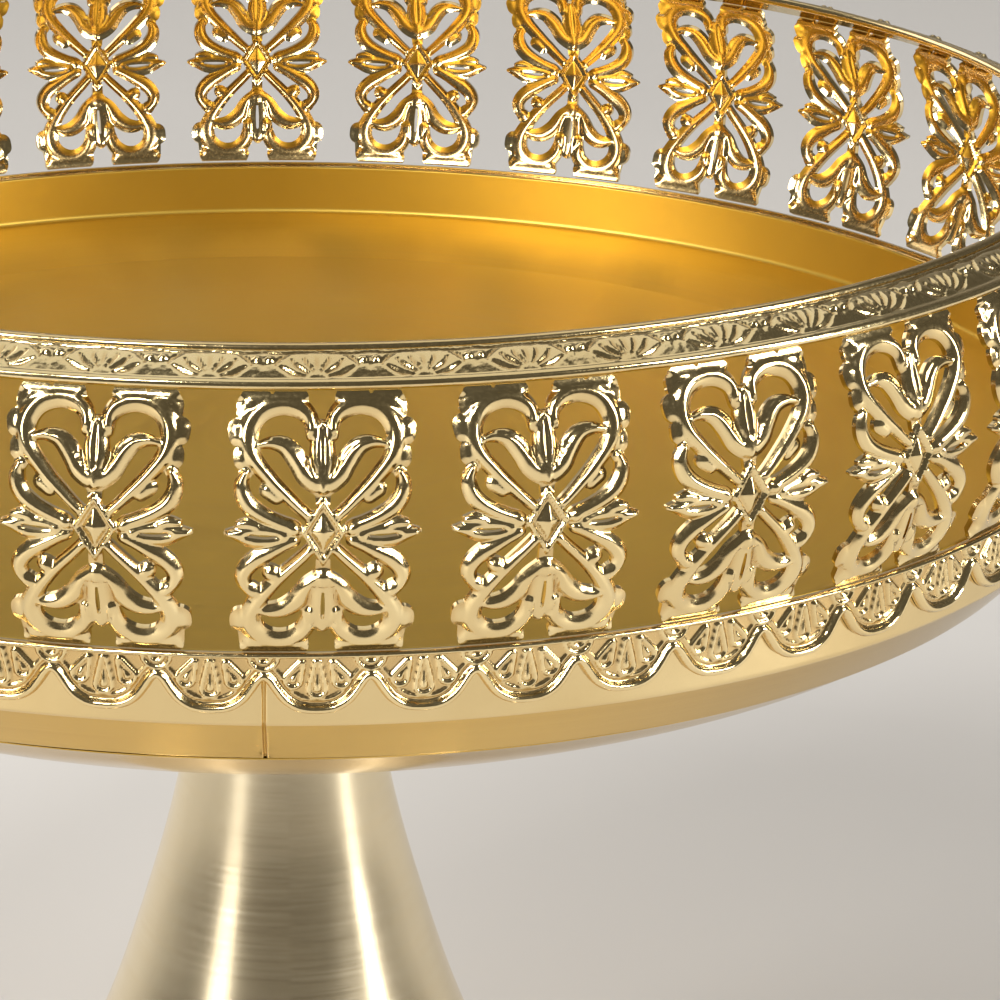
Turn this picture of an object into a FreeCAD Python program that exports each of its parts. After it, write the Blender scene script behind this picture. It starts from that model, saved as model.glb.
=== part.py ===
"""A cake stand: a round tray with an openwork gallery, on a flared trumpet pedestal.

Millimetres, +Z up.  The origin is the middle of the surface that the stand rests on.
Each piece of the stand is one object of the document and one STEP file in parts/.
"""
import FreeCAD, Part
import math
import os

import Sketcher
from FreeCAD import Placement, Rotation, Vector

UP = Vector(0, 0, 1)
AXIS_POINT = Vector(0, 0, 0)

doc = FreeCAD.newDocument("GalleryCakeStand")

# ---------------------------------------------------------------- driving dimensions

DIMENSIONS = (
    ("band_radius", 119.5, "outside of the plain band round the tray"),
    ("band_level", 145.0, "lower edge of the plain band above the table"),
    ("band_height", 9.3, "plain band, lower edge to top"),
    ("gauge", 0.8, "sheet metal of the tray"),
    ("play", 0.1, "gap between pieces that lie beside each other"),
    ("flange_radius", 112.2, "inner end of the hoop's flange"),
    ("flange_drop", 7.6, "flange, below the band's lower edge"),
    ("floor_radius", 98.5, "flat part of the tray floor"),
    ("floor_drop", 1.2, "tray floor, below the band's lower edge"),
    ("ledge_rise", 1.4, "top of the sloped border, above the band's lower edge"),
    ("hub_level", 120.0, "underside of the tray at its middle, above the table"),
    ("border_bottom", 1.6, "lowest point of a scallop, above the band's lower edge"),
    ("border_top", 9.7, "top of the scalloped border, above the band's lower edge"),
    ("border_valley", 6.9, "point between two scallops, above the band's lower edge"),
    ("border_gauge", 1.4, "thickness of the scalloped border"),
    ("scallops", 57, "scallops round the border"),
    ("scallop_phase", -3.4, "angle of one valley, in degrees"),
    ("panels", 28, "openwork panels round the gallery"),
    ("panel_bulge", 125.0, "outside of the panels at half height"),
    ("panel_edge", 120.4, "outside of the panels at their top and bottom edges"),
    ("panel_gauge", 1.3, "thickness of a panel"),
    ("rail_level", 43.65, "lower edge of the rail, above the band's lower edge"),
    ("rim_radius", 113.95, "ring of the rim wire"),
    ("rim_wire_radius", 0.75, "half of the rim wire's thickness"),
    ("rim_level", 46.95, "middle of the rim wire, above the band's lower edge"),
    ("neck_radius", 13.0, "outside of the pedestal's neck"),
    ("foot_radius", 58.0, "outside of the foot"),
    ("pedestal_gauge", 1.0, "sheet metal of the pedestal"),
    ("pad_height", 1.5, "foot pads, under the foot"),
    ("pad_radius", 4.0, "half of a foot pad's width"),
    ("stud_radius", 4.0, "half of the M8 stud"),
    ("stud_hole_radius", 4.3, "clearance hole for the stud"),
    ("gasket_thickness", 1.2, "washer between tray and pedestal"),
    ("cap_thickness", 2.0, "disc in the pedestal's neck"),
    ("hub_radius", 20.0, "reinforcing disc inside the tray"),
    ("hub_thickness", 2.0, "reinforcing disc inside the tray"),
    ("washer_thickness", 1.6, "flat washer"),
    ("spring_thickness", 2.0, "spring washer"),
    ("nut_height", 6.5, "M8 nut"),
    ("nut_flats", 13.0, "M8 nut, across flats"),
)

sheet = doc.addObject("Spreadsheet::Sheet", "Sizes")
for row, (alias, number, meaning) in enumerate(DIMENSIONS, start=1):
    sheet.set(f"A{row}", meaning)
    sheet.set(f"B{row}", str(number))
    sheet.setAlias(f"B{row}", alias)
doc.recompute()


def size(expression):
    """The value of an expression in the sheet's aliases."""
    return float(sheet.evalExpression(expression))


pieces = []


def named(piece, label):
    """Give a piece the label that also names its file."""
    piece.Label = label
    pieces.append(piece)
    return piece


# ---------------------------------------------------------------- ways to make a piece


def turned(label, corners):
    """A body turned about Z from a straight-sided section of (radius, height) expressions."""
    body = named(doc.addObject("PartDesign::Body", label), label)
    sketch = body.newObject("Sketcher::SketchObject", label + "_section")
    plane = next(f for f in body.Origin.OriginFeatures if f.Role == "XZ_Plane")
    sketch.AttachmentSupport = [(plane, "")]
    sketch.MapMode = "FlatFace"
    points = [Vector(size(radius), size(height), 0) for radius, height in corners]
    count = len(corners)
    for i in range(count):
        sketch.addGeometry(Part.LineSegment(points[i], points[(i + 1) % count]))
    for i in range(count):
        sketch.addConstraint(Sketcher.Constraint("Coincident", i, 2, (i + 1) % count, 1))
    for i, (radius, height) in enumerate(corners):
        if points[i].x > 0:
            across = Sketcher.Constraint("DistanceX", -1, 1, i, 1, points[i].x)
            sketch.setExpression(f"Constraints[{sketch.addConstraint(across)}]", radius)
        else:
            sketch.addConstraint(Sketcher.Constraint("PointOnObject", i, 1, -2))
        upward = Sketcher.Constraint("DistanceY", -1, 1, i, 1, points[i].y)
        sketch.setExpression(f"Constraints[{sketch.addConstraint(upward)}]", height)
    turn = body.newObject("PartDesign::Revolution", label + "_turn")
    turn.Profile = sketch
    turn.ReferenceAxis = (sketch, ["V_Axis"])
    turn.Angle = 360
    doc.recompute()
    return body


def rounded(body, radius, height, fillet):
    """Round the circular edge of a turned body that has this radius and height."""
    edges = []
    for i, edge in enumerate(body.Shape.Edges, start=1):
        curve = edge.Curve
        if isinstance(curve, Part.Circle) and abs(curve.Radius - size(radius)) < 1e-3:
            if abs(curve.Center.z - size(height)) < 1e-3:
                edges.append(f"Edge{i}")
    base = body.Tip
    step = body.newObject("PartDesign::Fillet", body.Name + "_round")
    step.Base = (base, edges)
    step.setExpression("Radius", fillet)
    body.Tip = step
    doc.recompute()


def section_point(radius, height):
    return Vector(radius, 0, height)


def spline_edge(points):
    curve = Part.BSplineCurve()
    curve.interpolate(points)
    return curve.toShape()


def offset_points(points, distance):
    """The points moved sideways by a distance, to the left of the way they run."""
    moved = []
    for i, point in enumerate(points):
        along = points[min(i + 1, len(points) - 1)] - points[max(i - 1, 0)]
        along.normalize()
        moved.append(point + Vector(-along.z, 0, along.x) * distance)
    return moved


def spun_shell(outline, gauge):
    """Sheet metal spun about Z: the outline's outer spline, and an inner one a gauge inside it."""
    outer = [section_point(radius, height) for radius, height in outline]
    inner = offset_points(outer, gauge)
    wire = Part.Wire([
        spline_edge(outer),
        Part.LineSegment(outer[-1], inner[-1]).toShape(),
        spline_edge(inner[::-1]),
        Part.LineSegment(inner[0], outer[0]).toShape(),
    ])
    return Part.Face(wire).revolve(AXIS_POINT, UP, 360)


def shaped(label, shape, placement=None):
    """A piece whose shape is worked out here from the sheet's values."""
    piece = named(doc.addObject("Part::Feature", label), label)
    piece.Shape = shape
    piece.Placement = placement or Placement()
    return piece


def cylinder(label, radius, height, level):
    tool = doc.addObject("Part::Cylinder", label)
    tool.setExpression("Radius", radius)
    tool.setExpression("Height", height)
    tool.setExpression("Placement.Base.z", level)
    return tool


def bored(label, blank, bore):
    cut = named(doc.addObject("Part::Cut", label), label)
    cut.Base = blank
    cut.Tool = bore
    return cut


# ---------------------------------------------------------------- tray: pan, hoop, bottom

BAND = "Sizes.band_level"
LINING = "Sizes.band_radius - Sizes.gauge - Sizes.play"

turned("tray_pan", (
    ("0", f"{BAND} - Sizes.floor_drop - Sizes.gauge"),
    ("Sizes.floor_radius", f"{BAND} - Sizes.floor_drop - Sizes.gauge"),
    (LINING, f"{BAND} + Sizes.ledge_rise - Sizes.gauge"),
    (LINING, f"{BAND} + Sizes.band_height"),
    (f"{LINING} - Sizes.gauge", f"{BAND} + Sizes.band_height"),
    (f"{LINING} - Sizes.gauge", f"{BAND} + Sizes.ledge_rise"),
    ("Sizes.floor_radius", f"{BAND} - Sizes.floor_drop"),
    ("0", f"{BAND} - Sizes.floor_drop"),
))

hoop = turned("wall_hoop", (
    ("Sizes.band_radius", f"{BAND} + Sizes.band_height"),
    ("Sizes.band_radius", BAND),
    ("Sizes.flange_radius", f"{BAND} - Sizes.flange_drop"),
    ("Sizes.flange_radius", f"{BAND} - Sizes.flange_drop + 1.5 * Sizes.gauge"),
    ("Sizes.band_radius - Sizes.gauge", f"{BAND} + Sizes.gauge / 2"),
    ("Sizes.band_radius - Sizes.gauge", f"{BAND} + Sizes.band_height"),
))
rounded(hoop, "Sizes.band_radius", BAND, "Sizes.gauge")

# (radius, height above the hub's level) of the spun underside, from its rim to its middle
UNDERSIDE = ((112.0, 17.4), (100.0, 10.6), (84.0, 4.6), (60.0, 1.0), (30.0, 0.1))
SHELL_HOLE_RADIUS = size("Sizes.stud_hole_radius")


def bottom_shell_shape():
    hub = size("Sizes.hub_level")
    rim_to_hub = [(radius, hub + rise) for radius, rise in UNDERSIDE]
    rim_to_hub.append((SHELL_HOLE_RADIUS, hub))
    return spun_shell(rim_to_hub, -size("Sizes.gauge"))


shaped("bottom_shell", bottom_shell_shape())

# ---------------------------------------------------------------- scalloped border


def scalloped_border_shape():
    """A band with scallops hanging from it: a ring less one notch between each two scallops."""
    inner = size("Sizes.band_radius + Sizes.play")
    outer = inner + size("Sizes.border_gauge")
    bottom = size(f"{BAND} + Sizes.border_bottom")
    height = size("Sizes.border_top - Sizes.border_bottom")
    ring = Part.makeCylinder(outer, height, Vector(0, 0, bottom))
    ring = ring.cut(Part.makeCylinder(inner, height, Vector(0, 0, bottom)))
    count = int(size("Sizes.scallops"))
    half_pitch = math.pi * outer / count
    depth = size("Sizes.border_valley - Sizes.border_bottom")
    radius = (half_pitch ** 2 + depth ** 2) / (2 * depth)
    y = -outer - 1
    clear = 0.2
    reach = half_pitch - clear
    toe = radius - math.sqrt(radius ** 2 - clear ** 2)
    valley = Vector(0, y, bottom + depth)
    toes = [Vector(side * reach, y, bottom + toe) for side in (-1, 1)]
    bend = math.sqrt(0.5) * radius
    bends = [Vector(side * (half_pitch - bend), y, bottom + radius - bend) for side in (-1, 1)]
    low = [Vector(side * reach, y, bottom - 1) for side in (-1, 1)]
    notch = Part.Face(Part.Wire([
        Part.Arc(toes[0], bends[0], valley).toShape(),
        Part.Arc(valley, bends[1], toes[1]).toShape(),
        Part.LineSegment(toes[1], low[1]).toShape(),
        Part.LineSegment(low[1], low[0]).toShape(),
        Part.LineSegment(low[0], toes[0]).toShape(),
    ])).extrude(Vector(0, 4, 0))
    notches = []
    for k in range(count):
        turn = notch.copy()
        turn.rotate(AXIS_POINT, UP, size("Sizes.scallop_phase") + 360 * k / count)
        notches.append(turn)
    return ring.cut(notches)


shaped("scalloped_border", scalloped_border_shape())

# ---------------------------------------------------------------- openwork panels

# One panel seen from outside, in millimetres from its middle (across, up).  Right half only:
# the left half is its mirror image.
PANEL_EDGE = (
    (9.4, 16.9), (9.8, 14.9), (11.3, 12.5), (10.3, 9.9), (9.7, 7.8), (10.7, 5.2), (9.8, 2.3),
    (11.9, 0.0), (9.8, -2.0), (10.8, -4.4), (10.0, -7.2), (9.8, -9.8), (11.0, -12.4),
    (9.5, -14.7), (9.5, -17.1),
)
PANEL_HOLES = (
    ((2.7, 14.1), (4.8, 14.9), (6.9, 14.4), (8.3, 12.7), (8.0, 11.8), (5.7, 12.4), (3.3, 11.5)),
    ((7.7, 10.6), (5.2, 10.3), (3.6, 8.2), (2.2, 6.1), (0.7, 4.8), (1.9, 3.2), (4.7, 5.7), (7.5, 8.6)),
    ((8.9, 6.8), (7.4, 6.0), (7.1, 4.8), (5.3, 4.1), (3.0, 2.2), (4.2, 1.0), (7.7, 2.9), (9.2, 5.2)),
    ((3.6, -1.3), (2.6, -2.6), (5.2, -4.9), (7.3, -5.4), (8.7, -6.7), (9.0, -5.0), (6.8, -2.6)),
    ((1.6, -3.3), (0.8, -4.8), (2.4, -6.0), (4.5, -9.1), (7.4, -10.0), (7.5, -8.7), (4.7, -5.6)),
    ((7.8, -12.2), (5.4, -12.3), (2.4, -11.5), (2.6, -14.0), (5.4, -15.6), (7.3, -14.5)),
)
PANEL_CLEFTS = (
    ((-2.2, 18.0), (2.2, 18.0), (0.9, 13.8), (-0.9, 13.8)),
    ((-2.0, -18.0), (2.0, -18.0), (0.5, -14.2), (-0.5, -14.2)),
)


def panel_shape():
    """A plate with the panel's outline and openings, bulged as a patch of the gallery wall."""
    low = size(f"{BAND} + Sizes.border_top + Sizes.play / 2")
    high = size(f"{BAND} + Sizes.rail_level - Sizes.play / 2")
    middle = (low + high) / 2
    edge = size("Sizes.panel_edge")
    bulge = size("Sizes.panel_bulge")
    gauge = size("Sizes.panel_gauge")
    front = -bulge - 1
    depth = Vector(0, 10, 0)

    def at(point, side=1):
        return Vector(side * point[0], front, middle + point[1])

    right = [at(point) for point in PANEL_EDGE]
    left = [at(point, -1) for point in PANEL_EDGE[::-1]]
    outline = Part.Wire([
        spline_edge(right),
        Part.LineSegment(right[-1], left[0]).toShape(),
        spline_edge(left),
        Part.LineSegment(left[-1], right[0]).toShape(),
    ])
    plate = Part.Face(outline).extrude(depth)
    cutters = [Part.Face(Part.makePolygon([at(p) for p in cleft + cleft[:1]])) for cleft in PANEL_CLEFTS]
    for hole in PANEL_HOLES:
        for side in (-1, 1):
            rim = Part.BSplineCurve()
            rim.interpolate([at(point, side) for point in hole], PeriodicFlag=True)
            cutters.append(Part.Face(Part.Wire(rim.toShape())))
    plate = plate.cut([cutter.extrude(depth) for cutter in cutters])

    outer = Part.Arc(section_point(edge, low), section_point(bulge, middle), section_point(edge, high))
    inner = Part.Arc(
        section_point(edge - gauge, low),
        section_point(bulge - gauge, middle),
        section_point(edge - gauge, high),
    )
    section = Part.Face(Part.Wire([
        outer.toShape(),
        Part.LineSegment(section_point(edge, high), section_point(edge - gauge, high)).toShape(),
        inner.toShape(),
        Part.LineSegment(section_point(edge - gauge, low), section_point(edge, low)).toShape(),
    ]))
    spread = 16
    section.rotate(AXIS_POINT, UP, -90 - spread / 2)
    wall = section.revolve(AXIS_POINT, UP, spread)
    return wall.common(plate)


panel = panel_shape()
panel_count = int(size("Sizes.panels"))
for number in range(panel_count):
    turn = Rotation(UP, 360 * number / panel_count)
    shaped(f"openwork_panel_{number + 1:02d}", panel, Placement(AXIS_POINT, turn))

# ---------------------------------------------------------------- rail and rim

# (outward from the panels' edge, above the rail's lower edge): the bead, then the leaning band
RAIL_BEAD = ((-0.5, 0.0), (0.3, 0.5), (-0.3, 1.25))
RAIL_BAND = ((-2.3, 2.65), (-5.45, 3.55))
RAIL_GAUGE = 0.8


def gallery_rail_shape():
    edge = size("Sizes.panel_edge")
    level = size(f"{BAND} + Sizes.rail_level")
    bead = [section_point(edge + out, level + rise) for out, rise in RAIL_BEAD]
    band = [section_point(edge + out, level + rise) for out, rise in RAIL_BAND]
    below = [point + Vector(-RAIL_GAUGE / 2, 0, -RAIL_GAUGE) for point in band]
    heel = section_point(edge - size("Sizes.panel_gauge"), level)
    wire = Part.Wire([
        Part.Arc(*bead).toShape(),
        Part.Arc(bead[-1], band[0], band[1]).toShape(),
        Part.LineSegment(band[1], below[1]).toShape(),
        Part.Arc(below[1], below[0], heel).toShape(),
        Part.LineSegment(heel, bead[0]).toShape(),
    ])
    return Part.Face(wire).revolve(AXIS_POINT, UP, 360)


shaped("gallery_rail", gallery_rail_shape())

rim = named(doc.addObject("Part::Torus", "rim_wire"), "rim_wire")
rim.setExpression("Radius1", "Sizes.rim_radius")
rim.setExpression("Radius2", "Sizes.rim_wire_radius")
rim.setExpression("Placement.Base.z", f"{BAND} + Sizes.rim_level")

# ---------------------------------------------------------------- pedestal

NECK_TOP = "Sizes.hub_level - Sizes.gasket_thickness"
CAP_LEVEL = f"{NECK_TOP} - Sizes.cap_thickness"
STUD_HOLE = "Sizes.stud_hole_radius"

# (radius, height above the table) of the trumpet's outside, between its neck and its foot
FLARE = ((13.3, 106.0), (16.2, 89.7), (20.2, 74.0), (27.4, 52.0), (38.0, 29.0), (50.0, 11.0))


def pedestal_shape():
    neck = (size("Sizes.neck_radius"), size(NECK_TOP))
    foot = (size("Sizes.foot_radius"), size("Sizes.pad_height + Sizes.pedestal_gauge"))
    return spun_shell([neck, *FLARE, foot], -size("Sizes.pedestal_gauge"))


shaped("pedestal", pedestal_shape())

turned("neck_gasket", (
    (STUD_HOLE, NECK_TOP),
    ("Sizes.neck_radius", NECK_TOP),
    ("Sizes.neck_radius", "Sizes.hub_level"),
    (STUD_HOLE, "Sizes.hub_level"),
))
CAP_RADIUS = "Sizes.neck_radius - Sizes.pedestal_gauge - Sizes.play"
turned("pedestal_cap", (
    (STUD_HOLE, CAP_LEVEL),
    (CAP_RADIUS, CAP_LEVEL),
    (CAP_RADIUS, NECK_TOP),
    (STUD_HOLE, NECK_TOP),
))

# the ring under the flare, which stiffens the foot; its outer face leans with the flare
turned("foot_ring", (
    ("Sizes.foot_radius - 14", "Sizes.pad_height"),
    ("Sizes.foot_radius - 2.5", "Sizes.pad_height"),
    ("Sizes.foot_radius - 6", "Sizes.pad_height + 4"),
    ("Sizes.foot_radius - 14", "Sizes.pad_height + 4"),
))


def foot_pads_shape():
    """Four soft pads under the foot ring."""
    ring = size("Sizes.foot_radius - 9")
    pads = []
    for quarter in range(4):
        turn = math.radians(45 + 90 * quarter)
        middle = Vector(ring * math.cos(turn), ring * math.sin(turn), 0)
        pads.append(Part.makeCylinder(size("Sizes.pad_radius"), size("Sizes.pad_height"), middle))
    return Part.makeCompound(pads)


shaped("foot_pads", foot_pads_shape())

# ---------------------------------------------------------------- hub and fastening

SHELL_TOP = "Sizes.hub_level + Sizes.gauge + 4 * Sizes.play"
turned("hub_plate", (
    ("Sizes.stud_radius", SHELL_TOP),
    ("Sizes.hub_radius", SHELL_TOP),
    ("Sizes.hub_radius", f"{SHELL_TOP} + Sizes.hub_thickness"),
    ("Sizes.stud_radius", f"{SHELL_TOP} + Sizes.hub_thickness"),
))

FLAT_LEVEL = f"{CAP_LEVEL} - Sizes.washer_thickness"
SPRING_LEVEL = f"{FLAT_LEVEL} - Sizes.spring_thickness"
NUT_LEVEL = f"{SPRING_LEVEL} - Sizes.nut_height"
STUD_LEVEL = f"{NUT_LEVEL} - Sizes.stud_radius"

stud = cylinder(
    "centre_stud",
    "Sizes.stud_radius",
    f"{SHELL_TOP} + Sizes.hub_thickness - ({STUD_LEVEL})",
    STUD_LEVEL,
)
named(stud, "centre_stud")

bored(
    "flat_washer",
    cylinder("flat_washer_blank", "Sizes.stud_radius * 2.1", "Sizes.washer_thickness", FLAT_LEVEL),
    cylinder("flat_washer_bore", STUD_HOLE, "Sizes.washer_thickness", FLAT_LEVEL),
)

spring_bore = cylinder("spring_washer_bore", STUD_HOLE, "Sizes.spring_thickness", SPRING_LEVEL)
spring_slit = doc.addObject("Part::Box", "spring_washer_slit")
spring_slit.Width = 0.8
spring_slit.setExpression("Length", "Sizes.stud_radius * 2")
spring_slit.setExpression("Height", "Sizes.spring_thickness")
spring_slit.setExpression("Placement.Base.z", SPRING_LEVEL)
spring_void = doc.addObject("Part::Fuse", "spring_washer_void")
spring_void.Base = spring_bore
spring_void.Tool = spring_slit
bored(
    "spring_washer",
    cylinder("spring_washer_blank", "Sizes.stud_radius * 1.8", "Sizes.spring_thickness", SPRING_LEVEL),
    spring_void,
)

nut_blank = doc.addObject("Part::Prism", "hex_nut_blank")
nut_blank.Polygon = 6
nut_blank.setExpression("Circumradius", "Sizes.nut_flats / sqrt(3)")
nut_blank.setExpression("Height", "Sizes.nut_height")
nut_blank.setExpression("Placement.Base.z", NUT_LEVEL)
bored(
    "hex_nut",
    nut_blank,
    cylinder("hex_nut_bore", "Sizes.stud_radius", "Sizes.nut_height", NUT_LEVEL),
)

# ---------------------------------------------------------------- check and write

doc.recompute()
for item in doc.Objects:
    for state in ("Invalid", "Error"):
        if state in item.State:
            raise RuntimeError(f"{item.Label} is {state}")
for piece in pieces:
    if piece.Shape.isNull() or not piece.Shape.isValid():
        raise RuntimeError(f"{piece.Label} has no valid shape")

os.makedirs("parts", exist_ok=True)
for piece in pieces:
    piece.Shape.exportStep(f"parts/{piece.Label}.step")
    box = piece.Shape.BoundBox
    solids = len(piece.Shape.Solids)
    print(f"{piece.Label}: {solids} solid, {piece.Shape.Volume:.0f} mm3, z {box.ZMin:.1f} to {box.ZMax:.1f}")
print(len(pieces), "pieces")
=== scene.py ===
"""A gallery cake stand: a gilt pierced gallery round a spun tray, on a satin trumpet pedestal."""
import math

import bpy
import numpy as np
from mathutils import Matrix, Vector


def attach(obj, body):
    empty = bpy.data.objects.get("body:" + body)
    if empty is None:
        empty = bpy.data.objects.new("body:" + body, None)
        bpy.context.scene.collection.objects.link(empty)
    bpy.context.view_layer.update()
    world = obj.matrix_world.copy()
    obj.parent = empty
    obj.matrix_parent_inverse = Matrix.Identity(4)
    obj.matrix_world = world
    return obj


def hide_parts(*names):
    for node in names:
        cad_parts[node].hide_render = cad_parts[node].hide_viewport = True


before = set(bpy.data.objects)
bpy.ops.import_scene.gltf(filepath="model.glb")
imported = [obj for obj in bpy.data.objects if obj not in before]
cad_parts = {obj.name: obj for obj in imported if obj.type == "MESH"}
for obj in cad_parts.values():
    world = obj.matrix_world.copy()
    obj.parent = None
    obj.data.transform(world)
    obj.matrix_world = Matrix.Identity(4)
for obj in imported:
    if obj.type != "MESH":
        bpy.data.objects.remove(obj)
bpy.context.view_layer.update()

MM = 0.001

# ---------------------------------------------------------------- dimensions, in millimetres

BAND_RADIUS = 119.5
BAND_LEVEL = 145.0
BAND_TOP = BAND_LEVEL + 9.3
GAUGE = 0.8
FLANGE_END = (112.2, 137.4)
BORDER_RADIUS = 119.6
BORDER_MIDDLE = BORDER_RADIUS + 0.9     # half way through the border's thickness
BORDER_TOP = 9.7
SCALLOPS = 57
SCALLOP_PHASE = math.radians(-3.4)
PANELS = 28
PANEL_LOW, PANEL_HIGH = 154.75, 188.6
PANEL_MIDDLE = (PANEL_LOW + PANEL_HIGH) / 2
PANEL_EDGE_RADIUS = 120.4
PANEL_BULGE_RADIUS = 125.0
RIM_RADIUS, RIM_LEVEL, RIM_WIRE = 113.95, 191.95, 0.75


# ---------------------------------------------------------------- curves and distances


def smooth_line(points, steps=8):
    """Points along a Catmull-Rom curve through rows of numbers; extra columns are carried along."""
    points = np.array(points, float)
    padded = np.vstack([2 * points[0] - points[1], points, 2 * points[-1] - points[-2]])
    out = []
    for i in range(len(points) - 1):
        a, b, c, d = padded[i:i + 4]
        for t in np.arange(steps) / steps:
            out.append(0.5 * (
                2 * b + (c - a) * t + (2 * a - 5 * b + 4 * c - d) * t ** 2
                + (3 * b - a - 3 * c + d) * t ** 3
            ))
    out.append(points[-1])
    return np.array(out)


def rib_edge(across, up, points, steps=8):
    """Distance outside a rib whose points are (across, up, half width), and that distance's share
    of the half width: -1 on the rib's middle line, 0 on its edge."""
    line = smooth_line(points, steps)
    edge = np.full(across.shape, 1e3)
    share = np.full(across.shape, 1e3)
    for (ax, ay, aw), (bx, by, bw) in zip(line[:-1], line[1:]):
        dx, dy = bx - ax, by - ay
        along = ((across - ax) * dx + (up - ay) * dy) / max(dx * dx + dy * dy, 1e-9)
        along = np.clip(along, 0, 1)
        gap = np.hypot(across - ax - along * dx, up - ay - along * dy)
        half = np.maximum(aw + (bw - aw) * along, 0.05)
        edge = np.minimum(edge, gap - half)
        share = np.minimum(share, gap / half - 1)
    return edge, share


def dome(share, height, fullness=0.5):
    """Height of a rounded rib over its width, from its share."""
    return height * np.clip(1 - (share + 1) ** 2, 0, 1) ** fullness


# ---------------------------------------------------------------- mesh building


def mesh_object(name, points, faces, smooth=True):
    mesh = bpy.data.meshes.new(name)
    faces = np.asarray(faces, np.int32)
    mesh.vertices.add(len(points))
    mesh.vertices.foreach_set("co", np.asarray(points, np.float32).ravel())
    size = faces.shape[1]
    mesh.loops.add(faces.size)
    mesh.loops.foreach_set("vertex_index", faces.ravel())
    mesh.polygons.add(len(faces))
    mesh.polygons.foreach_set("loop_start", np.arange(0, faces.size, size, dtype=np.int32))
    mesh.polygons.foreach_set("loop_total", np.full(len(faces), size, np.int32))
    mesh.update(calc_edges=True)
    mesh.validate()
    mesh.polygons.foreach_set("use_smooth", np.full(len(mesh.polygons), smooth))
    piece = bpy.data.objects.new(name, mesh)
    bpy.context.scene.collection.objects.link(piece)
    return piece


def carry(mesh, name, values):
    """A number at each point of a mesh, for its material to read."""
    layer = mesh.attributes.new(name, "FLOAT", "POINT")
    layer.data.foreach_set("value", np.asarray(values, np.float32))


def rounded_section(corners, step=1.5):
    """A closed section from (radius, height, corner radius), with small round corners."""
    corners = [tuple(c) + (0,) * (3 - len(c)) for c in corners]
    count = len(corners)
    out = []
    for i, (x, y, r) in enumerate(corners):
        here = np.array((x, y), float)
        before = np.array(corners[i - 1][:2], float) - here
        after = np.array(corners[(i + 1) % count][:2], float) - here
        lb, la = np.linalg.norm(before), np.linalg.norm(after)
        before, after = before / lb, after / la
        angle = math.acos(max(-1.0, min(1.0, float(before @ after))))
        if r <= 0 or abs(math.pi - angle) < 0.02:
            out.append(here)
            continue
        reach = min(r / math.tan(angle / 2), 0.45 * lb, 0.45 * la)
        r = reach * math.tan(angle / 2)
        bisector = before + after
        bisector = bisector / np.linalg.norm(bisector)
        centre = here + bisector * r / math.sin(angle / 2)
        start, end = here + before * reach - centre, here + after * reach - centre
        turn = math.atan2(start[0] * end[1] - start[1] * end[0], float(start @ end))
        for t in np.linspace(0, 1, 7):
            a = turn * t
            out.append(centre + np.array((
                start[0] * math.cos(a) - start[1] * math.sin(a),
                start[0] * math.sin(a) + start[1] * math.cos(a),
            )))
    filled = []
    for i, here in enumerate(out):
        there = out[(i + 1) % len(out)]
        length = np.linalg.norm(there - here)
        filled.append(here)
        if length > 0.5:
            hold = min(0.12 / length, 0.25)
            parts = max(1, int(length / step))
            for t in [hold, *(np.arange(1, parts) / parts), 1 - hold]:
                if hold <= t <= 1 - hold:
                    filled.append(here + (there - here) * t)
    return np.array(filled)


def even_angles(count):
    return np.arange(count) * 2 * math.pi / count


def lathe(name, section, angles, push=None):
    """A solid of revolution from a closed section; angles start at -Y and grow towards +X.
    push(section, angles) gives how far each point moves out along the section's normal."""
    radius, level = section[:, 0], section[:, 1]
    area = np.sum(radius * np.roll(level, -1) - np.roll(radius, -1) * level)
    spread = np.repeat(radius[:, None], len(angles), axis=1)
    z = np.repeat(level[:, None], len(angles), axis=1)
    if push is not None:
        run = np.roll(section, -1, axis=0) - np.roll(section, 1, axis=0)
        run /= np.linalg.norm(run, axis=1)[:, None]
        amount = push(section, angles) * math.copysign(1, area)
        spread = spread + amount * run[:, 1:]
        z = z - amount * run[:, :1]
    x = spread * np.sin(angles)[None, :]
    y = -spread * np.cos(angles)[None, :]
    rows, columns = spread.shape
    points = np.stack([x, y, z], -1).reshape(-1, 3) * MM
    i, j = np.meshgrid(np.arange(rows), np.arange(columns), indexing="ij")
    ni, nj = (i + 1) % rows, (j + 1) % columns
    faces = np.stack([i * columns + j, i * columns + nj, ni * columns + nj, ni * columns + j], -1)
    faces = faces.reshape(-1, 4)
    if area < 0:
        faces = faces[:, ::-1]
    return mesh_object(name, points, faces)


def shell_section(line, gauge):
    """A sheet-metal section: a line of (radius, height) and its offset to the right of travel."""
    line = np.array(line)
    run = np.gradient(line, axis=0)
    run /= np.linalg.norm(run, axis=1)[:, None]
    side = np.stack([run[:, 1], -run[:, 0]], -1) * gauge
    other = line + side

    def lip(here, there, outward):
        return [here + (there - here) * t + outward * gauge * 0.3 * math.sin(math.pi * t)
                for t in (0.1, 0.3, 0.5, 0.7, 0.9)]

    far_lip = lip(line[-1], other[-1], run[-1])
    near_lip = lip(other[0], line[0], -run[0])
    return np.vstack([line, far_lip, other[::-1], near_lip])


# ---------------------------------------------------------------- relief plates

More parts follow.
